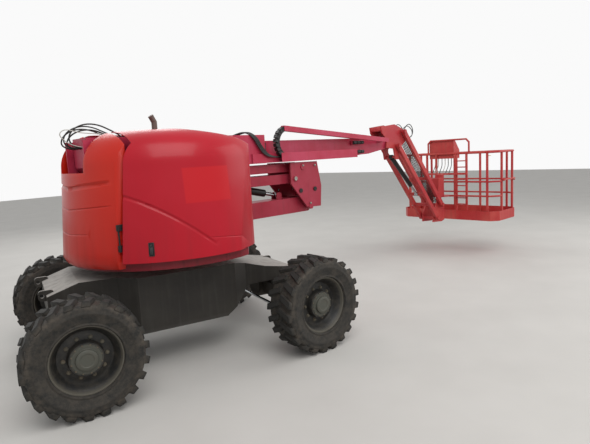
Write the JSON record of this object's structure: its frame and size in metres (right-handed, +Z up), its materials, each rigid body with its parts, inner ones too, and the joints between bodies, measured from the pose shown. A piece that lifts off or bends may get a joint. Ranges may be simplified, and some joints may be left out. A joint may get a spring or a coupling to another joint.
{
  "type": "articulated telescopic boom lift",
  "caption": "Self-propelled aerial work platform with two folding arms, a telescopic boom, a parallelogram jib and a rotating basket on a slewing turret.",
  "frame": {"origin": "middle of the stowed machine's footprint at the ground; the slew axis stands on the same centre plane, 2.262 m behind it", "axes": "+X along the stowed boom towards the basket, +Y to its left, +Z up; the chassis is turned 13.9 degrees clockwise under the turret"},
  "size_m": [7.8834, 2.8437, 2.277],
  "materials": {
    "chassis_paint": "satin grey paint, worn",
    "chassis_light": "light grey paint",
    "red_paint": "satin red paint, faded",
    "hood_shell": "glossy crimson shell",
    "cast_paint": "orange-red painted casting",
    "basket_paint": "satin red paint",
    "anchor_yellow": "satin yellow paint",
    "dark_metal": "black paint",
    "chrome": "polished rod",
    "tyre": "muddy black rubber",
    "rim": "dark grey, dusty",
    "engine": "dull dark grey",
    "black_plastic": "matte black"
  },
  "bodies": {
    "chassis": {"chassis_frame": "chassis_paint", "front_axle": "chassis_paint", "rear_axle": "chassis_paint", "slew_ring": "chassis_light"},
    "turret": {"turntable": "red_paint", "casting": "cast_paint", "hood_hinges": "dark_metal", "engine": "engine", "exhaust": "dark_metal"},
    "hood_right": {"hood_right": "hood_shell"},
    "hood_left": {"hood_left": "hood_shell"},
    "lower_arm": {"lower_arm": "red_paint"},
    "lower_link": {"lower_link": "red_paint"},
    "arm_knuckle": {"arm_knuckle": "red_paint"},
    "upper_arm": {"upper_arm": "red_paint"},
    "upper_link": {"upper_link": "red_paint"},
    "boom_foot": {"boom_foot": "red_paint", "cylinder_seat": "red_paint"},
    "outer_boom": {"outer_boom": "red_paint", "boom_ears": "red_paint", "hose_tray": "red_paint", "hose_chain": "black_plastic"},
    "inner_boom": {"inner_boom": "red_paint", "guide_bar": "red_paint"},
    "jib_bracket": {"jib_bracket": "red_paint"},
    "jib_arm": {"jib_arm": "red_paint"},
    "jib_link": {"jib_link": "red_paint"},
    "basket_support": {"basket_support": "red_paint"},
    "basket": {"basket_floor": "basket_paint", "basket_rails": "basket_paint", "basket_yoke": "basket_paint", "console": "basket_paint", "console_hoop": "basket_paint", "lanyard_anchors": "anchor_yellow"},
    "gate": {"gate_bar": "basket_paint"},
    "knuckle_left": {"knuckle_left": "chassis_paint"},
    "knuckle_right": {"knuckle_right": "chassis_paint"},
    "tie_rod": {"tie_rod": "chrome"},
    "wheel_front_left": {"rim_front_left": "rim", "tyre_front_left": "tyre"},
    "wheel_front_right": {"rim_front_right": "rim", "tyre_front_right": "tyre"},
    "wheel_rear_left": {"rim_rear_left": "rim", "tyre_rear_left": "tyre"},
    "wheel_rear_right": {"rim_rear_right": "rim", "tyre_rear_right": "tyre"},
    "boom_cylinder_barrel": {"boom_cylinder_barrel": "dark_metal"},
    "boom_cylinder_rod": {"boom_cylinder_rod": "chrome"},
    "arm_cylinder_barrel": {"arm_cylinder_barrel": "dark_metal"},
    "arm_cylinder_rod": {"arm_cylinder_rod": "chrome"},
    "jib_cylinder_barrel": {"jib_cylinder_barrel": "dark_metal"},
    "jib_cylinder_rod": {"jib_cylinder_rod": "chrome"}
  },
  "joints": [
    {"name": "turret_slew", "type": "hinge", "parent": "chassis", "child": "turret", "pos_m": [-2.2617, 0, 0.95], "axis": [0, 0, 1], "continuous": true},
    {"name": "hood_right_open", "type": "hinge", "parent": "turret", "child": "hood_right", "pos_m": [-3.0547, -0.586, 1.26], "axis": [0, 0, -1], "range_deg": [0, 90]},
    {"name": "hood_left_open", "type": "hinge", "parent": "turret", "child": "hood_left", "pos_m": [-3.0547, 0.586, 1.26], "axis": [0, 0, 1], "range_deg": [0, 90]},
    {"name": "arm_lift", "type": "hinge", "parent": "turret", "child": "lower_arm", "pos_m": [-2.8817, 0, 1.225], "axis": [0, -1, 0], "range_deg": [0, 68]},
    {"name": "lower_link_turn", "type": "hinge", "parent": "turret", "child": "lower_link", "pos_m": [-3.0317, 0, 1.295], "axis": [0, -1, 0], "range_deg": [0, 68]},
    {"name": "knuckle_level", "type": "hinge", "parent": "lower_arm", "child": "arm_knuckle", "pos_m": [-0.4517, 0, 1.225], "axis": [0, -1, 0], "range_deg": [-68, 0]},
    {"name": "upper_arm_lift", "type": "hinge", "parent": "arm_knuckle", "child": "upper_arm", "pos_m": [-0.6917, 0, 1.575], "axis": [0, 1, 0], "range_deg": [0, 68]},
    {"name": "upper_link_turn", "type": "hinge", "parent": "arm_knuckle", "child": "upper_link", "pos_m": [-0.5617, 0, 1.705], "axis": [0, 1, 0], "range_deg": [0, 68]},
    {"name": "foot_level", "type": "hinge", "parent": "upper_arm", "child": "boom_foot", "pos_m": [-2.9217, 0, 1.575], "axis": [0, 1, 0], "range_deg": [-68, 0]},
    {"name": "boom_lift", "type": "hinge", "parent": "boom_foot", "child": "outer_boom", "pos_m": [-2.9617, 0, 1.95], "axis": [0, -1, 0], "range_deg": [0, 75]},
    {"name": "telescope", "type": "slide", "parent": "outer_boom", "child": "inner_boom", "axis": [1, 0, 0], "range_m": [0, 1.35]},
    {"name": "bracket_level", "type": "hinge", "parent": "inner_boom", "child": "jib_bracket", "pos_m": [1.3383, 0, 1.93], "axis": [0, -1, 0], "range_deg": [-75, 0]},
    {"name": "jib_lift", "type": "hinge", "parent": "jib_bracket", "child": "jib_arm", "pos_m": [1.5183, 0, 1.9], "axis": [0, -1, 0], "range_deg": [-40, 84]},
    {"name": "jib_link_turn", "type": "hinge", "parent": "jib_bracket", "child": "jib_link", "pos_m": [1.6683, 0, 2.105], "axis": [0, -1, 0], "range_deg": [-40, 84]},
    {"name": "basket_level", "type": "hinge", "parent": "jib_arm", "child": "basket_support", "pos_m": [2.58856, 0, 0.68389], "axis": [0, -1, 0], "range_deg": [-84, 40]},
    {"name": "basket_turn", "type": "hinge", "parent": "basket_support", "child": "basket", "pos_m": [2.9283, 0, 1.37], "axis": [0, 0, 1], "range_deg": [-90, 90]},
    {"name": "gate_lift", "type": "hinge", "parent": "basket", "child": "gate", "pos_m": [3.3783, -0.914, 1.26], "axis": [0, -1, 0], "range_deg": [0, 75]},
    {"name": "steer_left", "type": "hinge", "parent": "chassis", "child": "knuckle_left", "pos_m": [-1.11442, 0.47325, 0.45], "axis": [0, 0, 1], "range_deg": [-39.5, 20.5]},
    {"name": "steer_right", "type": "hinge", "parent": "chassis", "child": "knuckle_right", "pos_m": [-1.46755, -0.9537, 0.45], "axis": [0, 0, 1], "range_deg": [-39.5, 20.5]},
    {"name": "tie_rod_turn", "type": "hinge", "parent": "knuckle_left", "child": "tie_rod", "pos_m": [-1.30386, 0.48783, 0.405], "axis": [0, 0, 1], "range_deg": [-20.5, 39.5]},
    {"name": "wheel_front_left_roll", "type": "hinge", "parent": "knuckle_left", "child": "wheel_front_left", "pos_m": [-1.09562, 0.71753, 0.45], "axis": [0.0767, 0.9971, 0], "continuous": true},
    {"name": "wheel_front_right_roll", "type": "hinge", "parent": "knuckle_right", "child": "wheel_front_right", "pos_m": [-1.48635, -1.19798, 0.45], "axis": [0.0767, 0.9971, 0], "continuous": true},
    {"name": "wheel_rear_left_roll", "type": "hinge", "parent": "chassis", "child": "wheel_rear_left", "pos_m": [-2.99699, 1.19153, 0.45], "axis": [0.2402, 0.9707, 0], "continuous": true},
    {"name": "wheel_rear_right_roll", "type": "hinge", "parent": "chassis", "child": "wheel_rear_right", "pos_m": [-3.46784, -0.71107, 0.45], "axis": [0.2402, 0.9707, 0], "continuous": true},
    {"name": "boom_cylinder_swing", "type": "hinge", "parent": "boom_foot", "child": "boom_cylinder_barrel", "pos_m": [-2.7017, 0, 1.692], "axis": [0, -1, 0], "range_deg": [-0.01, 76.69]},
    {"name": "boom_cylinder_stroke", "type": "slide", "parent": "boom_cylinder_barrel", "child": "boom_cylinder_rod", "axis": [0.9996, 0, 0.0269], "range_m": [-0.0005, 0.44457]},
    {"name": "arm_cylinder_swing", "type": "hinge", "parent": "upper_arm", "child": "arm_cylinder_barrel", "pos_m": [-1.7017, 0, 1.575], "axis": [0, -1, 0], "range_deg": [-3.07, 0.01]},
    {"name": "arm_cylinder_stroke", "type": "slide", "parent": "arm_cylinder_barrel", "child": "arm_cylinder_rod", "axis": [0.9775, 0, -0.211], "range_m": [-0.0005, 0.61765]},
    {"name": "jib_cylinder_swing", "type": "hinge", "parent": "jib_bracket", "child": "jib_cylinder_barrel", "pos_m": [1.5383, 0, 1.74], "axis": [0, -1, 0], "range_deg": [-40.74, 85.55]},
    {"name": "jib_cylinder_stroke", "type": "slide", "parent": "jib_cylinder_barrel", "child": "jib_cylinder_rod", "axis": [0.7314, 0, -0.682], "range_m": [-0.10242, 0.21453]}
  ],
  "couplings": [
    {"joint": "lower_link_turn", "follows": "arm_lift", "ratio": 1},
    {"joint": "knuckle_level", "follows": "arm_lift", "ratio": -1},
    {"joint": "upper_arm_lift", "follows": "arm_lift", "ratio": 1},
    {"joint": "upper_link_turn", "follows": "arm_lift", "ratio": 1},
    {"joint": "foot_level", "follows": "arm_lift", "ratio": -1},
    {"joint": "bracket_level", "follows": "boom_lift", "ratio": -1},
    {"joint": "jib_link_turn", "follows": "jib_lift", "ratio": 1},
    {"joint": "basket_level", "follows": "jib_lift", "ratio": -1},
    {"joint": "steer_right", "follows": "steer_left", "ratio": 1},
    {"joint": "tie_rod_turn", "follows": "steer_left", "ratio": -1},
    {"joint": "boom_cylinder_swing", "follows": "boom_lift", "ratio": 1.0224},
    {"joint": "boom_cylinder_stroke", "follows": "boom_lift", "m_per_rad": 0.33925},
    {"joint": "arm_cylinder_swing", "follows": "arm_lift", "ratio": -0.045},
    {"joint": "arm_cylinder_stroke", "follows": "arm_lift", "m_per_rad": 0.52},
    {"joint": "jib_cylinder_swing", "follows": "jib_lift", "ratio": 1.0183},
    {"joint": "jib_cylinder_stroke", "follows": "jib_lift", "m_per_rad": 0.14599}
  ]
}
